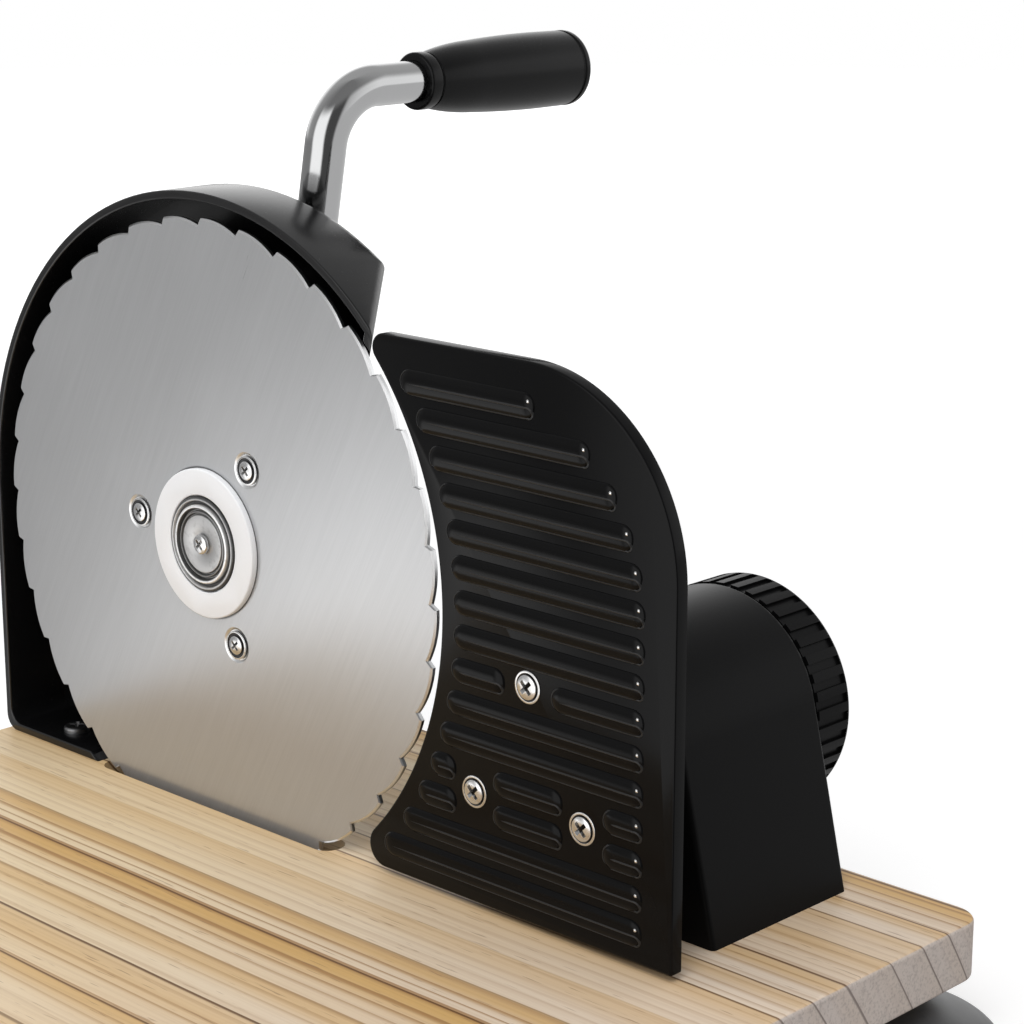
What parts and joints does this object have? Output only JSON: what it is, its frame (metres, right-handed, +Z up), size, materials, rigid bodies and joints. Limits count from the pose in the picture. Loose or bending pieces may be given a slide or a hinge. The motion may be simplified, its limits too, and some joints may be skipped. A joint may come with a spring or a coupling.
{
  "type": "hand crank bread slicer",
  "caption": "Hand cranked slicer with a geared scalloped blade in an open hood, a ribbed fence plate set by a thickness knob, and a wooden board on suction cups.",
  "frame": {"origin": "on the floor, under the middle of the object's box with the crank up", "axes": "+X to the right along the blade's face, +Y to the back, away from the loaf, +Z up"},
  "size_m": [0.348, 0.277, 0.2601],
  "materials": {
    "pine": "satin",
    "grey_rubber": "matte",
    "blade_steel": "brushed",
    "screw_steel": "satin",
    "turned_steel": "satin",
    "chromed_rod": "polished",
    "bearing_brass": "satin",
    "white_plastic": "satin",
    "gloss_black": "gloss",
    "fence_black": "semi-gloss",
    "satin_black": "satin",
    "barrel_metal": "satin"
  },
  "bodies": {
    "root": {"base_board": "pine", "suction_cup_front_left": "grey_rubber", "suction_cup_front_right": "grey_rubber", "suction_cup_back_left": "grey_rubber", "suction_cup_back_right": "grey_rubber", "cup_screws": "screw_steel", "gear_housing": "gloss_black", "housing_screws": "screw_steel", "blade_axle": "turned_steel", "axle_cap": "turned_steel", "axle_screw": "screw_steel", "gear_cover": "satin_black", "cover_screws": "screw_steel", "crank_bush": "bearing_brass", "fence_stand": "satin_black", "stand_screws": "screw_steel", "stand_bush": "bearing_brass", "guide_key": "turned_steel"},
    "blade_unit": {"blade": "blade_steel", "blade_hub": "white_plastic", "hub_bush": "bearing_brass", "blade_screws": "screw_steel"},
    "crank": {"crank_gear": "turned_steel", "crank_shaft": "turned_steel", "shaft_clip": "turned_steel", "crank_boss": "turned_steel", "crank_nut": "turned_steel", "crank_arm": "chromed_rod", "grip_clip": "turned_steel"},
    "hand_grip": {"grip": "gloss_black", "grip_plug": "gloss_black"},
    "fence": {"fence_plate": "fence_black", "fence_screws": "screw_steel", "fence_barrel": "barrel_metal", "feed_nut": "bearing_brass"},
    "knob": {"thickness_knob": "satin_black", "feed_spindle": "turned_steel", "spindle_clip": "turned_steel", "knob_screw": "screw_steel"}
  },
  "joints": [
    {"name": "crank_spin", "type": "hinge", "parent": "root", "child": "crank", "pos_m": [-0.04658, 0.0425, 0.16602], "axis": [0, 1, 0], "continuous": true},
    {"name": "blade_spin", "type": "hinge", "parent": "root", "child": "blade_unit", "pos_m": [-0.055, 0.0215, 0.118], "axis": [0, 1, 0], "continuous": true},
    {"name": "grip_spin", "type": "hinge", "parent": "crank", "child": "hand_grip", "pos_m": [-0.03067, 0.1125, 0.2486], "axis": [0, 1, 0], "continuous": true},
    {"name": "knob_turn", "type": "hinge", "parent": "root", "child": "knob", "pos_m": [0.076, 0.0975, 0.082], "axis": [0, 1, 0], "range_deg": [0, 300.1]},
    {"name": "fence_slide", "type": "slide", "parent": "root", "child": "fence", "axis": [0, 1, 0], "range_m": [0, 0.015]}
  ],
  "couplings": [
    {"joint": "blade_spin", "follows": "crank_spin", "ratio": -1.6},
    {"joint": "knob_turn", "follows": "fence_slide", "rad_per_m": 349.07}
  ]
}
